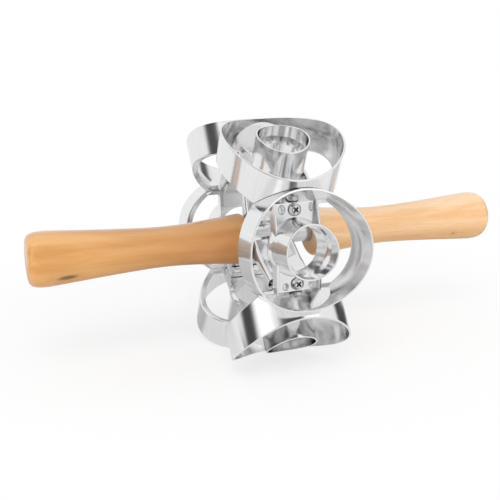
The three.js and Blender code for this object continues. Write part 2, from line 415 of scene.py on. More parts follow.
def drum_centre(context):
    """The drum's middle along the axle at rest, against the left handle."""
    hub = context.scene.roller_spider.hub_length
    return -context.scene.roller_handle.gap / 2 + HUB_GAP + hub / 2


def hand_over(piece, node, body, finish):
    """Gives a finished piece its body and its material, and hides the CAD node it stands for."""
    piece.data.materials.clear()
    piece.data.materials.append(finish)
    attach(piece, body)
    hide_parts(node)


# Finishes


def new_finish(name):
    """A new material with its nodes and its shader."""
    finish = bpy.data.materials.new(name)
    finish.use_nodes = True
    tree = finish.node_tree
    return finish, tree, tree.nodes["Principled BSDF"]


def give(tree, node, values):
    """Links or sets a node's inputs."""
    for key, value in values.items():
        if isinstance(value, bpy.types.NodeSocket):
            tree.links.new(value, node.inputs[key])
        else:
            node.inputs[key].default_value = value


def add_node(tree, kind, values, **settings):
    """A new node's outputs."""
    node = tree.nodes.new(kind)
    for key, value in settings.items():
        setattr(node, key, value)
    give(tree, node, values)
    return node.outputs


def arithmetic(tree, operation, *values):
    """One step of arithmetic on numbers or sockets."""
    return add_node(tree, "ShaderNodeMath", dict(enumerate(values)), operation=operation)[0]


def product(tree, first, *others):
    """The product of two or more values."""
    for other in others:
        first = arithmetic(tree, "MULTIPLY", first, other)
    return first


def parts_of(tree, vector):
    """A vector's X, Y and Z."""
    return add_node(tree, "ShaderNodeSeparateXYZ", {"Vector": vector})


def vector_step(tree, operation, *vectors):
    """One step of arithmetic on vectors."""
    made = add_node(tree, "ShaderNodeVectorMath", dict(enumerate(vectors)), operation=operation)
    return made["Value" if operation == "LENGTH" else "Vector"]


def ranged(tree, value, low, high, to_low=0.0, to_high=1.0):
    """A value moved smoothly from one range to another."""
    values = {"Value": value, "From Min": low, "From Max": high}
    values |= {"To Min": to_low, "To Max": to_high}
    return add_node(tree, "ShaderNodeMapRange", values, interpolation_type="SMOOTHSTEP")["Result"]


def mixed(tree, factor, first, second):
    """A mix of two colours, each of them a socket or plain."""
    values = {0: factor}
    for place, value in ((6, first), (7, second)):
        values[place] = value if isinstance(value, bpy.types.NodeSocket) else (*value, 1)
    return add_node(tree, "ShaderNodeMix", values, data_type="RGBA")[2]


def noise(tree, vector, scale, detail, rough):
    """Noise stretched by a vector of frequencies, in cycles a metre."""
    place = add_node(tree, "ShaderNodeMapping", {"Vector": vector, "Scale": scale})["Vector"]
    values = {"Vector": place, "Scale": 1.0, "Detail": detail, "Roughness": rough}
    return add_node(tree, "ShaderNodeTexNoise", values)["Fac"]


def bump_from(tree, height, strength, distance):
    """The normal of a surface raised by a height."""
    values = {"Height": height, "Strength": strength, "Distance": distance}
    return add_node(tree, "ShaderNodeBump", values)["Normal"]


def new_group(name, given, made):
    """A new node group that makes numbers of a vector, with its two ends."""
    group = bpy.data.node_groups.new(name, "ShaderNodeTree")
    group.interface.new_socket(given, in_out="INPUT", socket_type="NodeSocketVector")
    for output in made:
        group.interface.new_socket(output, in_out="OUTPUT", socket_type="NodeSocketFloat")
    start = group.nodes.new("NodeGroupInput")
    end = group.nodes.new("NodeGroupOutput")
    return group, start.outputs[given], end.inputs


def from_group(tree, group, given, vector):
    """What a node group makes of a vector."""
    return add_node(tree, "ShaderNodeGroup", {given: vector}, node_tree=group)


# cycles a metre across and along the polishing
LINES = (900, 900, 40)
SMEARS = (60, 60, 25)


def polishing_group():
    """Fine polishing lines and soft smears, shared by all the metals."""
    group = bpy.data.node_groups.get("Polishing")
    if group is None:
        group, along, made = new_group("Polishing", "Along", ("Lines", "Smears"))
        group.links.new(noise(group, along, LINES, 4.0, 0.6), made["Lines"])
        group.links.new(noise(group, along, SMEARS, 3.0, 0.5), made["Smears"])
    return group


def cast_inside(tree, place, sizes):
    """A mask of the ring's curved inside, away from its outer wall, mitre walls and core."""
    round_ring = (sizes.ring_length / sizes.ring_width, 1, 0)
    reach = vector_step(tree, "LENGTH", vector_step(tree, "MULTIPLY", place, round_ring))
    lip = sizes.ring_length / 2 - sizes.lip_thickness
    within = ranged(tree, reach, lip + 0.0002, lip - 0.0004)
    parts = parts_of(tree, place)
    aside = arithmetic(tree, "ABSOLUTE", parts["Y"])
    level = product(tree, parts["Z"], math.sin(MITRE))
    above = arithmetic(tree, "MULTIPLY_ADD", aside, -math.cos(MITRE), level)
    wall = sizes.mitre_gap / 2 + sizes.mitre_wall
    clear = ranged(tree, above, wall + 0.0003, wall + 0.0015)
    core = sizes.core_diameter / 2 + sizes.core_flare
    beyond = ranged(tree, reach, core, core + 0.002)
    return product(tree, within, clear, beyond)


def recess_and_edge(tree, place, sizes):
    """A mask of a screw's cross recess and of its head's lower edge, where shade is painted."""
    reach = vector_step(tree, "LENGTH", vector_step(tree, "MULTIPLY", place, (1, 1, 0)))
    height = parts_of(tree, place)["Z"]
    top = sizes.seat + sizes.head_height
    deep = ranged(tree, height, top - 0.0004, top - 0.0006)
    inside = ranged(tree, reach, sizes.recess_span / 2 + 0.0003, sizes.recess_span / 2)
    edge = ranged(tree, height, sizes.seat + 0.0009, sizes.seat + 0.0003, 0.0, 0.85)
    return arithmetic(tree, "MAXIMUM", product(tree, deep, inside), edge)


LINE_DEPTH = 0.0001  # of the polishing lines' bump, in metres
LINE_SHADE = 0.93  # colour of the polishing lines, as a share of the metal's
INSIDE_ROUGHNESS = 0.1  # added where the satin mask is
PAINTED_SHADE_SHARE = 0.12  # colour of the painted shade in the recess and round the head's edge, as a share of the metal's
SHADE_MASK_ROUGHNESS = 0.3  # added where the shade is painted


def metal(name, base, roughness, spread, lines, on_bench=None, satin_mask=None, painted_shade_mask=None):
    """A polished metal: smears change its roughness, fine lines its bump and its shade.

    The lines run along Z on the bench where on_bench gives the piece's sizes, or along the axle.
    """
    finish, tree, shader = new_finish(name)
    if on_bench:
        place = add_node(tree, "ShaderNodeAttribute", {}, attribute_name="bench")["Vector"]
    else:
        place = add_node(tree, "ShaderNodeTexCoord", {})["Object"]
        turned = {"Vector": place, "Rotation": (0, math.pi / 2, 0)}
        place = add_node(tree, "ShaderNodeMapping", turned)["Vector"]
    polish = from_group(tree, polishing_group(), "Along", place)
    rough = ranged(tree, polish["Smears"], 0.3, 0.7, roughness - spread, roughness + spread)
    if satin_mask:
        satin = satin_mask(tree, place, on_bench)
        rough = arithmetic(tree, "MULTIPLY_ADD", satin, INSIDE_ROUGHNESS, rough)
    shade = ranged(tree, polish["Lines"], 0.25, 0.75)
    skin = mixed(tree, shade, [LINE_SHADE * part for part in base], base)
    # painted shade: this mask darkens the colour where shade falls in a screw's recess and round
    # its head
    if painted_shade_mask:
        painted_shade = painted_shade_mask(tree, place, on_bench)
        skin = mixed(tree, painted_shade, skin, [PAINTED_SHADE_SHARE * part for part in base])
        rough = arithmetic(tree, "MULTIPLY_ADD", painted_shade, SHADE_MASK_ROUGHNESS, rough)
    normal = bump_from(tree, polish["Lines"], lines, LINE_DEPTH)
    surface = {"Base Color": skin, "Metallic": 1.0, "Roughness": rough, "Normal": normal}
    give(tree, shader, surface)
    return finish


KNOTS = (
    # place along the axle, angle up from the front, half length, half width, depth of colour
    (-0.1615, math.radians(-34), 0.0086, 0.0029, 0.82),
    (0.1531, math.radians(-33), 0.0024, 0.0019, 0.97),
)
# cycles a metre along and across the axle
BANDS = (7, 85, 85)
GRAIN = (30, 800, 800)
FLECKS = (330, 2300, 2300)
PATCHES = (14, 40, 40)
GRAIN_DEPTH = 0.0002
FLECK_STRENGTH = 0.4
REFLECTED_GREY = 0.72  # how far the wood's colour fades in the metal's reflections


def beech(colours, handle):
    """Varnished beech: grain bands and short flecks along the axle, and two knots."""
    finish, tree, shader = new_finish("varnished_beech")
    place = add_node(tree, "ShaderNodeTexCoord", {})["Object"]
    bands = noise(tree, place, BANDS, 4.0, 0.5)
    grain = noise(tree, place, GRAIN, 5.0, 0.65)
    fleck = noise(tree, place, FLECKS, 2.0, 0.5)
    late = ranged(tree, bands, 0.36, 0.68)
    pale = mixed(tree, late, colours.wood_light, colours.wood_dark_and_under_shade)
    warm = mixed(tree, late, colours.warm_light, colours.warm_dark)
    parts = parts_of(tree, place)
    inwards = ranged(tree, parts["X"], -0.15, -0.04, 0.0, 0.9)
    left = ranged(tree, parts["X"], 0.002, -0.002)
    # painted shade: the right handle darkens towards its underside
    under = ranged(tree, parts["Z"], 0.006, -0.012)
    pale = mixed(tree, under, pale, colours.wood_dark_and_under_shade)
    body = mixed(tree, left, pale, warm)
    patchy = ranged(tree, noise(tree, place, PATCHES, 2.0, 0.5), 0.35, 0.65, 0.5, 1.0)
    body = mixed(tree, product(tree, inwards, left, patchy), body, colours.wood_deep)
    for pattern, low, high in ((grain, 0.48, 0.8), (fleck, 0.62, 0.76)):
        dark = ranged(tree, pattern, low, high, 0.0, FLECK_STRENGTH)
        body = mixed(tree, dark, body, colours.wood_fleck)
    radius = handle.max_diameter / 2
    for at, angle, half_length, half_width, depth in KNOTS:
        centre = (at, -radius * math.cos(angle), radius * math.sin(angle))
        half = (half_length, half_width, half_width)
        knot = {"Vector": place, "Location": centre, "Scale": half}
        near = add_node(tree, "ShaderNodeMapping", knot, vector_type="TEXTURE")["Vector"]
        reach = vector_step(tree, "LENGTH", near)
        spot = ranged(tree, reach, 1.15, 0.45, 0.0, depth)
        halo = ranged(tree, reach, 2.6, 0.9, 0.0, 0.35)
        body = mixed(tree, halo, body, colours.warm_dark)
        body = mixed(tree, spot, body, colours.knot)
    grey = add_node(tree, "ShaderNodeRGBToBW", {"Color": body})["Val"]
    reflected = add_node(tree, "ShaderNodeLightPath", {})["Is Glossy Ray"]
    surface = {
        "Base Color": mixed(tree, product(tree, reflected, REFLECTED_GREY), body, grey),
        "Roughness": ranged(tree, grain, 0.3, 0.7, 0.34, 0.46),
        "Coat Weight": ranged(tree, parts["Z"], -0.008, 0.01, 0.12, 1.0),
        "Coat IOR": 1.65,
        "Coat Roughness": 0.25,
        "Normal": bump_from(tree, grain, 0.12, GRAIN_DEPTH),
    }
    give(tree, shader, surface)
    return finish


# Cutters


def roll_round_axle(piece, above):
    """Wraps heights round the axle, so that a level edge follows the roll of the drum."""
    for point in piece.data.vertices:
        if point.co.z > above:
            point.co.z = math.sqrt(point.co.z**2 - point.co.y**2)
    return piece


def ring_wide(piece, sizes):
    """Stretches a piece turned to the ring's length along the axle, to the ring's width."""
    stretch = (sizes.ring_width / sizes.ring_length, 1, 1)
    with editing(piece):
        bpy.ops.transform.resize(value=stretch, center_override=(0, 0, 0))
    return piece


def ring_wall(sizes):
    """The ring's wall with its lip, its hollow, and the flange round the windows."""
    outer = sizes.ring_length / 2
    lip = outer - sizes.lip_thickness
    window = outer - sizes.flange_width
    top = sizes.rolling_radius
    base = sizes.flange_base
    step = top - sizes.lip_depth
    lower_edge, upper_edge = 0.0005, 0.0006  # roundings of the window's edges
    corners = [
        (outer, top, sizes.rim_rounding),
        (outer, base, sizes.base_rounding),
        (window, base, lower_edge),
        (window, base + sizes.flange_land, upper_edge),
        (lip, step, sizes.hollow_radius),
        (lip, top, sizes.rim_rounding),
    ]
    ring = turned_section("ring", corners, sizes.ring_segments, 9)
    return roll_round_axle(ring_wide(ring, sizes), 0.0)


def core_tube(sizes):
    """The hole cutter, which flares into the plate."""
    outer = sizes.core_diameter / 2
    lip = outer - sizes.core_lip
    bore = outer - sizes.core_wall
    top = sizes.rolling_radius - sizes.core_set_back
    plate = sizes.plate_top
    step = top - sizes.core_lip_depth
    flare = outer + sizes.core_flare
    foot = flare + sizes.core_fillet
    low = plate - sizes.plate_thickness
    flare_bend, foot_bend = 0.03, 0.009
    fillet_rise, fillet_dip = 0.0004, 0.0003  # above and below the plate's face
    bore_edge = 0.0006
    slope, slope_bend, step_bend = 0.005, 0.02, 0.004  # from the bore out to the thin lip
    rolled_rim = 0.004  # the part of the core that follows the roll
    corners = [
        (outer, top, sizes.rim_rounding),
        (outer, plate + sizes.core_flare_height, flare_bend),
        (outer + sizes.core_flare / 3, plate + sizes.core_flare_height / 3, foot_bend),
        (flare, plate + fillet_rise, sizes.core_fillet / 2),
        (foot, plate - fillet_dip, 0),
        (foot, plate - SINK, 0),
        (flare, low + SINK, 0),
        (bore, low, bore_edge),
        (bore, step - slope, slope_bend),
        (lip, step, step_bend),
        (lip, top, sizes.rim_rounding),
    ]
    return roll_round_axle(turned_section("core", corners, 128), top - rolled_rim)


def plate_blank(sizes):
    """The plate: a disc with two windows, whose inner corners are rounded."""
    top = sizes.plate_top
    low = top - sizes.plate_thickness
    reach = sizes.window_reach
    disc = sizes.ring_length / 2 - sizes.flange_width + SINK
    plate = ring_wide(rod("plate", disc, low, top, 128), sizes)
    for side in (-1, 1):
        near = side * sizes.web_width / 2
        far = side * sizes.ring_width
        hole = block(
            "window",
            (min(near, far), -reach, low - OVERCUT),
            (max(near, far), reach, top + OVERCUT),
        )
        round_edges(
            hole,
            lambda a, b: max(abs(a.x - near), abs(b.x - near)) < NEAR and a.y == b.y,
            sizes.window_corner,
            6,
        )
        combine(plate, hole, "DIFFERENCE")
    bore = sizes.core_diameter / 2 - sizes.core_wall / 2
    combine(plate, rod("bore", bore, low - OVERCUT, top + OVERCUT, 128), "DIFFERENCE")
    return plate


RIB_ROUNDING = 0.0006
MITRE_WALL_DROP = 0.012  # from the ring's rim down to the mitre walls' tops


def rib(sizes, side, end):
    """A rib along the web's edge that rises from the mitre to the core."""
    middle = side * (sizes.web_width - sizes.rib_width) / 2
    root = math.sqrt((sizes.core_diameter / 2) ** 2 - (sizes.web_width / 2) ** 2)
    reach = sizes.plate_top * math.tan(MITRE)
    low = sizes.plate_top - sizes.plate_thickness / 2
    piece = block(
        "rib",
        (middle - sizes.rib_width / 2, min(end * root, end * reach), low),
        (middle + sizes.rib_width / 2, max(end * root, end * reach), sizes.plate_top),
    )
    for point in piece.data.vertices:
        if point.co.z > low + NEAR:
            inner = abs(abs(point.co.y) - root) < NEAR
            rise = sizes.rib_root_height if inner else sizes.rib_height
            point.co.z = sizes.plate_top + rise
    return round_edges(
        piece, lambda a, b: a.x == b.x and min(a.z, b.z) > sizes.plate_top, RIB_ROUNDING, 5
    )


def mitre_wall(sizes, end):
    """A flat wall that closes the ring along one mitre."""
    outer = sizes.ring_length / 2 - sizes.lip_thickness / 2
    low = sizes.plate_top - sizes.plate_thickness / 2
    high = sizes.rolling_radius - MITRE_WALL_DROP
    wall = ring_wide(rod("mitre_wall", outer, low, high, 128), sizes)
    normal = Vector((0, -end * math.cos(MITRE), math.sin(MITRE)))
    inset = sizes.mitre_gap / 2 + sizes.mitre_wall
    return slice_off(wall, normal * inset, normal)


DENTS = (
    # across and along the web, half width, half length, depth, in millimetres
    (-9.7, 27.1, 2.7, 3.6, 2.3),
    (12.6, 27.6, 1.8, 3.4, 2.0),
    (-9.0, -28.0, 2.4, 2.8, 1.8),
    (11.0, -28.0, 2.4, 2.8, 1.8),
)


def dent(sizes, across, along, half_width, half_length, depth):
    """The tool that presses a cast dent into the web."""
    add = bpy.ops.mesh.primitive_uv_sphere_add
    tool = new_object("dent", add, segments=32, ring_count=20, radius=0.001)
    with editing(tool):
        bpy.ops.transform.resize(value=(half_width, half_length, depth))
        bpy.ops.transform.translate(value=(across / 1000, along / 1000, sizes.plate_top))
    return tool


HOLE_SPAN = (0.05, 0.07)  # heights between which the screws' holes are cut
SEAT_TOP = 0.066  # height up to which the web is cleared for the screws' heads
CAST_SMOOTHING = math.radians(25)


def cutter_casting(sizes, screws):
    """One whole cutter casting, standing along Z at its place on the drum."""
    casting = ring_wall(sizes)
    combine(casting, plate_blank(sizes), "UNION")
    combine(casting, core_tube(sizes), "UNION")
    for end in (-1, 1):
        combine(casting, mitre_wall(sizes, end), "UNION")
        for side in (-1, 1):
            combine(casting, rib(sizes, side, end), "UNION")
    for shape in DENTS:
        combine(casting, dent(sizes, *shape), "DIFFERENCE")
    for end in (-1, 1):
        offset = end * screws.offset
        shank = screws.shank_diameter / 2 + screws.clearance
        combine(casting, rod("hole", shank, *HOLE_SPAN, 32, offset), "DIFFERENCE")
        head = screws.head_diameter / 2 + screws.clearance
        seat = rod("seat", head, sizes.plate_top, SEAT_TOP, 48, offset)
        combine(casting, seat, "DIFFERENCE")
        normal = Vector((0, end * math.cos(MITRE), -math.sin(MITRE)))
        slice_off(casting, -normal * sizes.mitre_gap / 2, normal)
    return smooth(casting, CAST_SMOOTHING)


class ROLLER_OT_cutters(bpy.types.Operator):
    """Model one ring cutter and stand six of them round the drum"""

    bl_idname = "roller.cutters"
    bl_label = "Ring cutters"

    def execute(self, context):
        scene = context.scene
        master = cutter_casting(scene.roller_cutter, scene.roller_screw)
        keep_bench_place(master)
        finish = metal(
            "cast_aluminium", scene.roller_finish.aluminium, roughness=0.13, spread=0.012,
            lines=0.015, on_bench=scene.roller_cutter, satin_mask=cast_inside,
        )
        for number in range(CUTTER_COUNT):
            piece = copy_of(master, f"ring_cutter_{number + 1}")
            put(piece, station_turn(number), (drum_centre(context), 0, 0))
            hand_over(piece, f"cutter_{number + 1}", "drum", finish)
        bpy.data.objects.remove(master)
        return {"FINISHED"}


# Screws


RECESS_TAPER = (0.45, 0.7)  # shares of a recess arm's length and width at its floor


def pan_screw(sizes):
    """A pan-head screw along Z with a cross recess."""
    head = sizes.head_diameter / 2
    shank = sizes.shank_diameter / 2
    seat = sizes.seat
    tip = seat - sizes.shank_length
    top = seat + sizes.head_height
    chamfer, side, crown = 0.0007, 0.0010, head * 0.62
    under_edge, side_edge, crown_edge = 0.0003, 0.0009, 0.0016
    corners = [
        (shank - chamfer, tip, 0),
        (shank, tip + chamfer, 0),
        (shank, seat, 0),
        (head, seat, under_edge),
        (head, seat + side, side_edge),
        (crown, top, crown_edge),
        (0, top, 0),
    ]
    screw = turned_piece("screw", [Vector((0, tip)), *filleted(corners)], 64)
    for turn in (math.pi / 4, -math.pi / 4):
        arm = block(
            "arm",
            (-sizes.recess_span / 2, -sizes.recess_width / 2, -sizes.recess_depth),
            (sizes.recess_span / 2, sizes.recess_width / 2, sizes.recess_depth),
        )
        for point in arm.data.vertices:
            if point.co.z < 0:
                point.co.x *= RECESS_TAPER[0]
                point.co.y *= RECESS_TAPER[1]
        arm.rotation_euler = (0, 0, turn)
        arm.location = (0, 0, top)
        apply_place(arm)
        combine(screw, arm, "DIFFERENCE")
    return smooth(screw)


class ROLLER_OT_screws(bpy.types.Operator):
    """Model one pan-head screw and put two of them on each cutter"""

    bl_idname = "roller.screws"
    bl_label = "Pan-head screws"

    def execute(self, context):
        scene = context.scene
        master = pan_screw(scene.roller_screw)
        keep_bench_place(master)
        # the screws get painted shade in their cross recesses and round their heads' lower edges
        finish = metal(
            "screw_steel", scene.roller_finish.screw_steel, roughness=0.07, spread=0.02,
            lines=0.02, on_bench=scene.roller_screw, painted_shade_mask=recess_and_edge,
        )
        for number in range(CUTTER_COUNT):
            for place, end in (("upper", 1), ("lower", -1)):
                piece = copy_of(master, f"pan_{place}_screw_{number + 1}")
                put(piece, 0, (0, end * scene.roller_screw.offset, 0))
                put(piece, station_turn(number), (drum_centre(context), 0, 0))
                hand_over(piece, f"{place}_screw_{number + 1}", "drum", finish)
        bpy.data.objects.remove(master)
        return {"FINISHED"}


# Spider, brackets, sleeve and axle


HUB_EDGES = (0.0005, 0.0009)  # roundings of the bore and of the outside
SLEEVE_EDGES = (0.0003, 0.0004)
AXLE_EDGE = 0.001
SPOKE_START = 0.0005  # from the hub's bore to a spoke's hidden end
HOLE_FLOOR = 0.0008  # left under the pads' blind holes
HOLE_OVERCUT = 0.004


def flat_spoke(sizes):
    """One wide flat spoke along Z with round edges, thicker towards the hub."""
    low = sizes.hub_bore / 2 + SPOKE_START
    top = sizes.pad_outer - sizes.pad_thickness / 2
    root = sizes.spoke_root / 2
    side = sizes.spoke_thickness / 2
    straight, root_bend, taper_bend = 0.001, 0.004, 0.03
    right = filleted(
        [
            (root, low, 0),
            (root, low + straight, root_bend),
            (side, sizes.taper_end, taper_bend),
            (side, top, 0),
        ]
    )
    left = [(-across, height) for across, height in reversed(right)]
    spoke = swept_along_axle("spoke", [*right, *left], sizes.spoke_width)
    return round_edges(
        spoke, lambda a, b: abs(a.x - b.x) < NEAR < abs(a.z - b.z), sizes.spoke_rounding, 7
    )


def bent_pad(sizes):
    """A bent pad under the two plates that meet at a mitre, about Z along that mitre."""
    inner = sizes.pad_outer - sizes.pad_thickness

    def place(height, offset):
        along, across = math.cos(MITRE), math.sin(MITRE)
        return offset * along - height * across, height * along + offset * across

    half = [
        place(inner, inner * math.tan(MITRE)),
        place(inner, sizes.pad_free_edge),
        place(sizes.pad_outer, sizes.pad_free_edge),
        place(sizes.pad_outer, sizes.pad_outer * math.tan(MITRE)),
    ]
    outline = [*half, (-half[2][0], half[2][1]), (-half[1][0], half[1][1])]
    pad = swept_along_axle("pad", outline, sizes.pad_width)
    return modify(
        pad, "BEVEL", width=sizes.pad_rounding, segments=3, limit_method="ANGLE",
        angle_limit=math.radians(50),
    )


def pad_holes(pad, sizes, screws):
    """Bores a pad's two screw holes."""
    radius = screws.shank_diameter / 2 + screws.clearance
    floor = sizes.pad_outer - sizes.pad_thickness + HOLE_FLOOR
    top = sizes.pad_outer + HOLE_OVERCUT
    for end in (-1, 1):
        hole = rod("hole", radius, floor, top, 32, end * screws.offset)
        put(hole, end * MITRE)
        combine(pad, hole, "DIFFERENCE")
    return pad


def spider_casting(sizes, screws):
    """The hub with its three flat spokes and their pads, one spoke along Z."""
    hub = tube_along_axle(
        "hub", sizes.hub_bore, sizes.hub_diameter, sizes.hub_length, HUB_EDGES, 128
    )
    for number in range(SPOKE_COUNT):
        spoke = flat_spoke(sizes)
        combine(spoke, pad_holes(bent_pad(sizes), sizes, screws), "UNION")
        put(spoke, math.tau * number / SPOKE_COUNT)
        combine(hub, spoke, "UNION")
    return smooth(hub)


class ROLLER_OT_spider(bpy.types.Operator):
    """Model the cast hub with its spokes, and the three tie brackets"""

    bl_idname = "roller.spider"
    bl_label = "Spider and tie brackets"

    def execute(self, context):
        scene = context.scene
        sizes = scene.roller_spider
        colours = scene.roller_finish
        shift = (drum_centre(context), 0, 0)
        finish = metal(
            "hub_aluminium", colours.hub_aluminium, roughness=0.05, spread=0.02, lines=0.03
        )
        satin = metal(
            "bracket_aluminium", colours.bracket_aluminium, roughness=0.34, spread=0.02, lines=0.02
        )
        spider = spider_casting(sizes, scene.roller_screw)
        spider.name = "cast_spider"
        put(spider, station_turn(0) + MITRE, shift)
        hand_over(spider, "spider", "drum", finish)
        for number in range(SPOKE_COUNT):
            bracket = smooth(pad_holes(bent_pad(sizes), sizes, scene.roller_screw))
            bracket.name = f"bent_bracket_{number + 1}"
            put(bracket, station_turn(0) - MITRE - math.tau * number / SPOKE_COUNT, shift)
            hand_over(bracket, f"tie_bracket_{number + 1}", "drum", satin)
        return {"FINISHED"}


class ROLLER_OT_axle(bpy.types.Operator):
    """Model the steel rod and the brass sleeve that slides on it"""

    bl_idname = "roller.axle"
    bl_label = "Axle and sleeve"

    def execute(self, context):
        scene = context.scene
        sizes = scene.roller_spider
        colours = scene.roller_finish
        radius = sizes.axle_diameter / 2
        half = sizes.axle_half
        corners = [
            (0, -half, 0), (radius, -half, AXLE_EDGE), (radius, half, AXLE_EDGE), (0, half, 0)
        ]
        axle = smooth(turned_piece("axle_rod", filleted(corners), 96, along_axle=True))
        steel = metal("axle_steel", colours.axle_steel, roughness=0.2, spread=0.05, lines=0.05)
        hand_over(axle, "axle", "handles", steel)
        sleeve = tube_along_axle(
            "brass_sleeve", sizes.sleeve_bore, sizes.sleeve_diameter, sizes.hub_length,
            SLEEVE_EDGES, 96,
        )
        put(smooth(sleeve), 0, (drum_centre(context), 0, 0))
        brass = metal("sleeve_brass", colours.brass, roughness=0.25, spread=0.06, lines=0.05)
        hand_over(sleeve, "sliding_sleeve", "sleeve", brass)
        return {"FINISHED"}


# Handles


def curve_through(points, steps):
    """Points along a smooth curve through the given ones."""
    made = []
    last = len(points) - 1
    for span in range(last):
        p0 = points[max(span - 1, 0)]
        p1, p2 = points[span], points[span + 1]
        p3 = points[min(span + 2, last)]
        for k in range(steps):
            t = k / steps
            bend = (2 * p0 - 5 * p1 + 4 * p2 - p3) * t**2
            twist = (3 * p1 - p0 - 3 * p2 + p3) * t**3
            made.append(0.5 * (2 * p1 + (p2 - p0) * t + bend + twist))
    return [*made, points[last]]


SIDE_STEPS, END_STEPS, EDGE_STEPS = 24, 16, 6
END_FULLNESS = (0.82, 0.85)  # how far the end's curve follows the side and the flat


def handle_profile(sizes):
    """A handle's profile from its inner face, with a blind socket for the axle."""
    socket = sizes.socket_diameter / 2
    inner = sizes.inner_diameter / 2
    largest = sizes.max_diameter / 2
    flat = sizes.end_flat / 2
    side = curve_through(
        [
            Vector((inner, sizes.inner_edge)),
            Vector((sizes.waist_diameter / 2, sizes.waist_at)),
            Vector((largest, sizes.max_at)),
        ],
        SIDE_STEPS,
    )
    a = Vector((largest, sizes.max_at))
    b = Vector((largest, sizes.max_at + END_FULLNESS[0] * (sizes.total - sizes.max_at)))
    c = Vector((flat + END_FULLNESS[1] * (largest - flat), sizes.total))
    d = Vector((flat, sizes.total))
    end = []
    for k in range(1, END_STEPS + 1):
        t = k / END_STEPS
        s = 1 - t
        end.append(a * s**3 + b * 3 * s**2 * t + c * 3 * s * t**2 + d * t**3)
    edge = []
    for k in range(EDGE_STEPS):
        angle = math.pi / 2 * k / EDGE_STEPS
        turn = Vector((math.sin(angle), 1 - math.cos(angle))) * sizes.inner_edge
        edge.append(Vector((inner - sizes.inner_edge, 0)) + turn)
    return [
        Vector((0, sizes.socket_depth)),
        Vector((socket, sizes.socket_depth)),
        Vector((socket, 0)),
        *edge,
        *side,
        *end,
        Vector((0, sizes.total)),
    ]


class ROLLER_OT_handles(bpy.types.Operator):
    """Turn the two beech handles"""

    bl_idname = "roller.handles"
    bl_label = "Beech handles"

    def execute(self, context):
        scene = context.scene
        sizes = scene.roller_handle
        finish = beech(scene.roller_finish, sizes)
        profile = handle_profile(sizes)
        for name, side in (("left", -1), ("right", 1)):
            places = [(radius, side * (sizes.gap / 2 + height)) for radius, height in profile]
            piece = smooth(turned_piece(f"beech_handle_{name}", places, 96, along_axle=True))
            hand_over(piece, f"{name}_handle", "handles", finish)
        return {"FINISHED"}


# Stage


CARDS = (
    # azimuth from the front, half width, lowest, highest, in degrees, and darkness;
    # a soft box has a negative one
    (-97, 11, -10, 42, 0.93),
    (106, 9, -26, 28, 0.93),
    (-8, 29, 44, 72, 0.92),
    (-21, 7, -8, 16, 0.8),
    (-14, 28, -6, 44, 0.5),
    # the next card paints the roller's shadow on the floor, as the metal reflects it
    (-138, 14, -60, -18, 0.42),
    (-68, 14, 24, 42, -0.35),
    (44, 16, 34, 52, -0.3),
    # the soft boxes at 150 and -72 lie below the horizon and paint pools of light on the floor, as
    # the metal reflects it
    (150, 16, -24, -4, -0.2),
    (-72, 12, -52, -38, -0.15),
)


SIDE_FADE = (5, 4)  # degrees over which a card's sides fade, outwards and inwards
END_FADE = (7, 4)  # the same for its lower and upper ends
STUDIO_LEVEL = 0.92  # the studio's light in the metal's reflections
ROOM_LEVEL = 0.62  # the studio's light on everything else
FLOOR_GAP = 0.0005  # between the lowest rim and the floor
# distances from the middle, near and far, and a level at each
GLOW_SHARE = (0.12, 0.42, 0.72, 1.0)
# the second level paints a shadow on the floor near the roller, as the metal reflects it
REFLECTED_LEVEL = (0.1, 0.3, 0.86, 1.0)
LAMPS = (
    # name, place, size and power
    ("key", (-0.35, -0.75, 1.0), 0.7, 6.5),
    ("fill", (0.9, -0.6, 0.5), 0.8, 3.2),
    ("side", (-0.9, -0.5, 0.3), 0.6, 2.2),
)
CAMERA_PLACE = (-0.2195, -0.5418, 0.1586)
CAMERA_AIM = (-0.0051, 0, 0)


def faded(group, value, edge, fade, outwards):
    """1 inside a card's edge and 0 outside it, where outwards is 1 or -1."""
    outer = math.radians(edge + outwards * fade[0])
    return ranged(group, value, outer, math.radians(edge - outwards * fade[1]))


def card_group():
    """How much light comes from a direction of the studio, with its dark cards and soft boxes."""
    group, direction, made = new_group("Studio cards", "Direction", ("Light",))
    east, north, up = parts_of(group, direction)
    around = arithmetic(group, "ARCTAN2", east, product(group, north, -1.0))
    height = arithmetic(group, "ARCSINE", up)
    light = 1.0
    for azimuth, half, low, high, dark in CARDS:
        aside = arithmetic(group, "SUBTRACT", around, math.radians(azimuth))
        across = faded(group, arithmetic(group, "ABSOLUTE", aside), half, SIDE_FADE, 1)
        above = faded(group, height, low, END_FADE, -1)
        below = faded(group, height, high, END_FADE, 1)
        card = product(group, across, above, below, dark)
        light = product(group, light, arithmetic(group, "SUBTRACT", 1.0, card))
    group.links.new(light, made["Light"])
    return group


def studio_light(tree, direction, cards):
    """The studio's light from a direction, as the metal reflects it."""
    return product(tree, from_group(tree, cards, "Direction", direction)["Light"], STUDIO_LEVEL)


def studio_world(cards):
    """A white studio whose dark cards show only in the metal's reflections."""
    world = bpy.data.worlds.new("studio")
    bpy.context.scene.world = world
    world.use_nodes = True
    tree = world.node_tree
    direction = add_node(tree, "ShaderNodeTexCoord", {})["Generated"]
    shade = studio_light(tree, direction, cards)
    rays = add_node(tree, "ShaderNodeLightPath", {})
    glossy = rays["Is Glossy Ray"]
    seen = arithmetic(tree, "MAXIMUM", rays["Is Camera Ray"], rays["Is Transmission Ray"])
    plain = ranged(tree, seen, 0.0, 1.0, ROOM_LEVEL, 1.0)
    kept = product(tree, plain, arithmetic(tree, "SUBTRACT", 1.0, glossy))
    strength = arithmetic(tree, "MULTIPLY_ADD", shade, glossy, kept)
    give(tree, tree.nodes["Background"], {"Color": (1, 1, 1, 1), "Strength": strength})


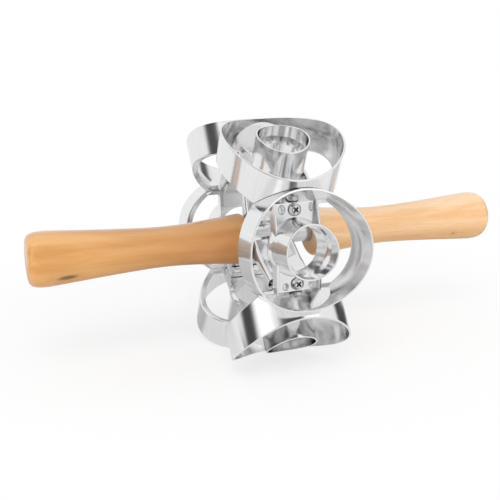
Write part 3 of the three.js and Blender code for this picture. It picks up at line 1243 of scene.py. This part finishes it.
def pale_floor(height, cards):
    """A large pale floor that stays near white to the camera and keeps a soft shadow."""
    floor = new_object("floor", bpy.ops.mesh.primitive_plane_add, size=8)
    with editing(floor):
        bpy.ops.transform.translate(value=(0, 0, height))
    finish, tree, shader = new_finish("pale_floor")
    surface = {"Base Color": (0.92, 0.92, 0.92, 1), "Roughness": 0.9, "Specular IOR Level": 0.0}
    give(tree, shader, surface)
    rays = add_node(tree, "ShaderNodeLightPath", {})
    glossy = rays["Is Glossy Ray"]
    seen = arithmetic(tree, "MAXIMUM", rays["Is Camera Ray"], glossy)
    place = add_node(tree, "ShaderNodeTexCoord", {})["Object"]
    reach = vector_step(tree, "LENGTH", place)
    share = product(tree, seen, ranged(tree, reach, *GLOW_SHARE))
    # as the metal reflects it, the floor's glow follows the cards and dims near the roller:
    # painted light and painted shadow on the floor
    lit = studio_light(tree, vector_step(tree, "NORMALIZE", place), cards)
    lit = product(tree, lit, ranged(tree, reach, *REFLECTED_LEVEL))
    change = arithmetic(tree, "SUBTRACT", lit, 1.0)
    level = arithmetic(tree, "MULTIPLY_ADD", change, glossy, 1.0)
    glow = add_node(tree, "ShaderNodeEmission", {"Strength": level})["Emission"]
    blend = {"Fac": share, 1: shader.outputs["BSDF"], 2: glow}
    seen = add_node(tree, "ShaderNodeMixShader", blend)["Shader"]
    give(tree, tree.nodes["Material Output"], {"Surface": seen})
    floor.data.materials.append(finish)


def facing(place, aim):
    """The turn of a lamp or a camera that looks from a place towards its aim."""
    return (Vector(aim) - Vector(place)).to_track_quat("-Z", "Y").to_euler()


def soft_lamp(name, place, size, power):
    """A round lamp towards the roller, which the metal doesn't reflect."""
    lamp = new_object(name, bpy.ops.object.light_add, type="AREA", location=place)
    lamp.data.shape = "DISK"
    lamp.data.size = size
    lamp.data.energy = power
    lamp.visible_glossy = False
    lamp.rotation_euler = facing(place, (0, 0, 0))


def photo_camera():
    """The camera, as it was fitted to the photo."""
    camera = new_object("Camera", bpy.ops.object.camera_add, location=CAMERA_PLACE)
    camera.rotation_euler = facing(CAMERA_PLACE, CAMERA_AIM)
    camera.data.sensor_width = 36
    camera.data.lens = 55.82
    camera.data.shift_x = -0.0408
    camera.data.shift_y = -0.0290
    camera.data.clip_start = 0.01
    bpy.context.scene.camera = camera


class ROLLER_OT_stage(bpy.types.Operator):
    """Set the camera, the white studio, its soft lamps and the floor"""

    bl_idname = "roller.stage"
    bl_label = "Stage"

    def execute(self, context):
        context.scene.view_settings.view_transform = "Standard"
        photo_camera()
        cards = card_group()
        studio_world(cards)
        pale_floor(-context.scene.roller_cutter.rolling_radius - FLOOR_GAP, cards)
        for lamp in LAMPS:
            soft_lamp(*lamp)
        return {"FINISHED"}


class ROLLER_PT_panel(bpy.types.Panel):
    """Sizes, colours and steps of the roller"""

    bl_idname = "ROLLER_PT_panel"
    bl_label = "Doughnut cutter roller"
    bl_space_type = "VIEW_3D"
    bl_region_type = "UI"
    bl_category = "Roller"

    def draw(self, context):
        for step in OPERATORS:
            self.layout.operator(step.bl_idname)
        for name, group in GROUPS.items():
            box = self.layout.box()
            box.label(text=group.__doc__.split(";")[0].rstrip("."))
            values = getattr(context.scene, name)
            for key in group.__annotations__:
                box.prop(values, key, text=key.replace("_", " ").capitalize())


GROUPS = {
    "roller_cutter": CutterSizes,
    "roller_screw": ScrewSizes,
    "roller_spider": SpiderSizes,
    "roller_handle": HandleSizes,
    "roller_finish": RollerFinish,
}
OPERATORS = (
    ROLLER_OT_cutters,
    ROLLER_OT_screws,
    ROLLER_OT_spider,
    ROLLER_OT_axle,
    ROLLER_OT_handles,
    ROLLER_OT_stage,
)


def register():
    for name, group in GROUPS.items():
        bpy.utils.register_class(group)
        setattr(bpy.types.Scene, name, PointerProperty(type=group))
    for item in (*OPERATORS, ROLLER_PT_panel):
        bpy.utils.register_class(item)


def unregister():
    for item in (ROLLER_PT_panel, *reversed(OPERATORS)):
        bpy.utils.unregister_class(item)
    for name, group in reversed(GROUPS.items()):
        delattr(bpy.types.Scene, name)
        bpy.utils.unregister_class(group)


def main():
    register()
    bpy.ops.roller.stage()
    bpy.ops.roller.cutters()
    bpy.ops.roller.screws()
    bpy.ops.roller.spider()
    bpy.ops.roller.axle()
    bpy.ops.roller.handles()


if __name__ == "__main__":
    main()
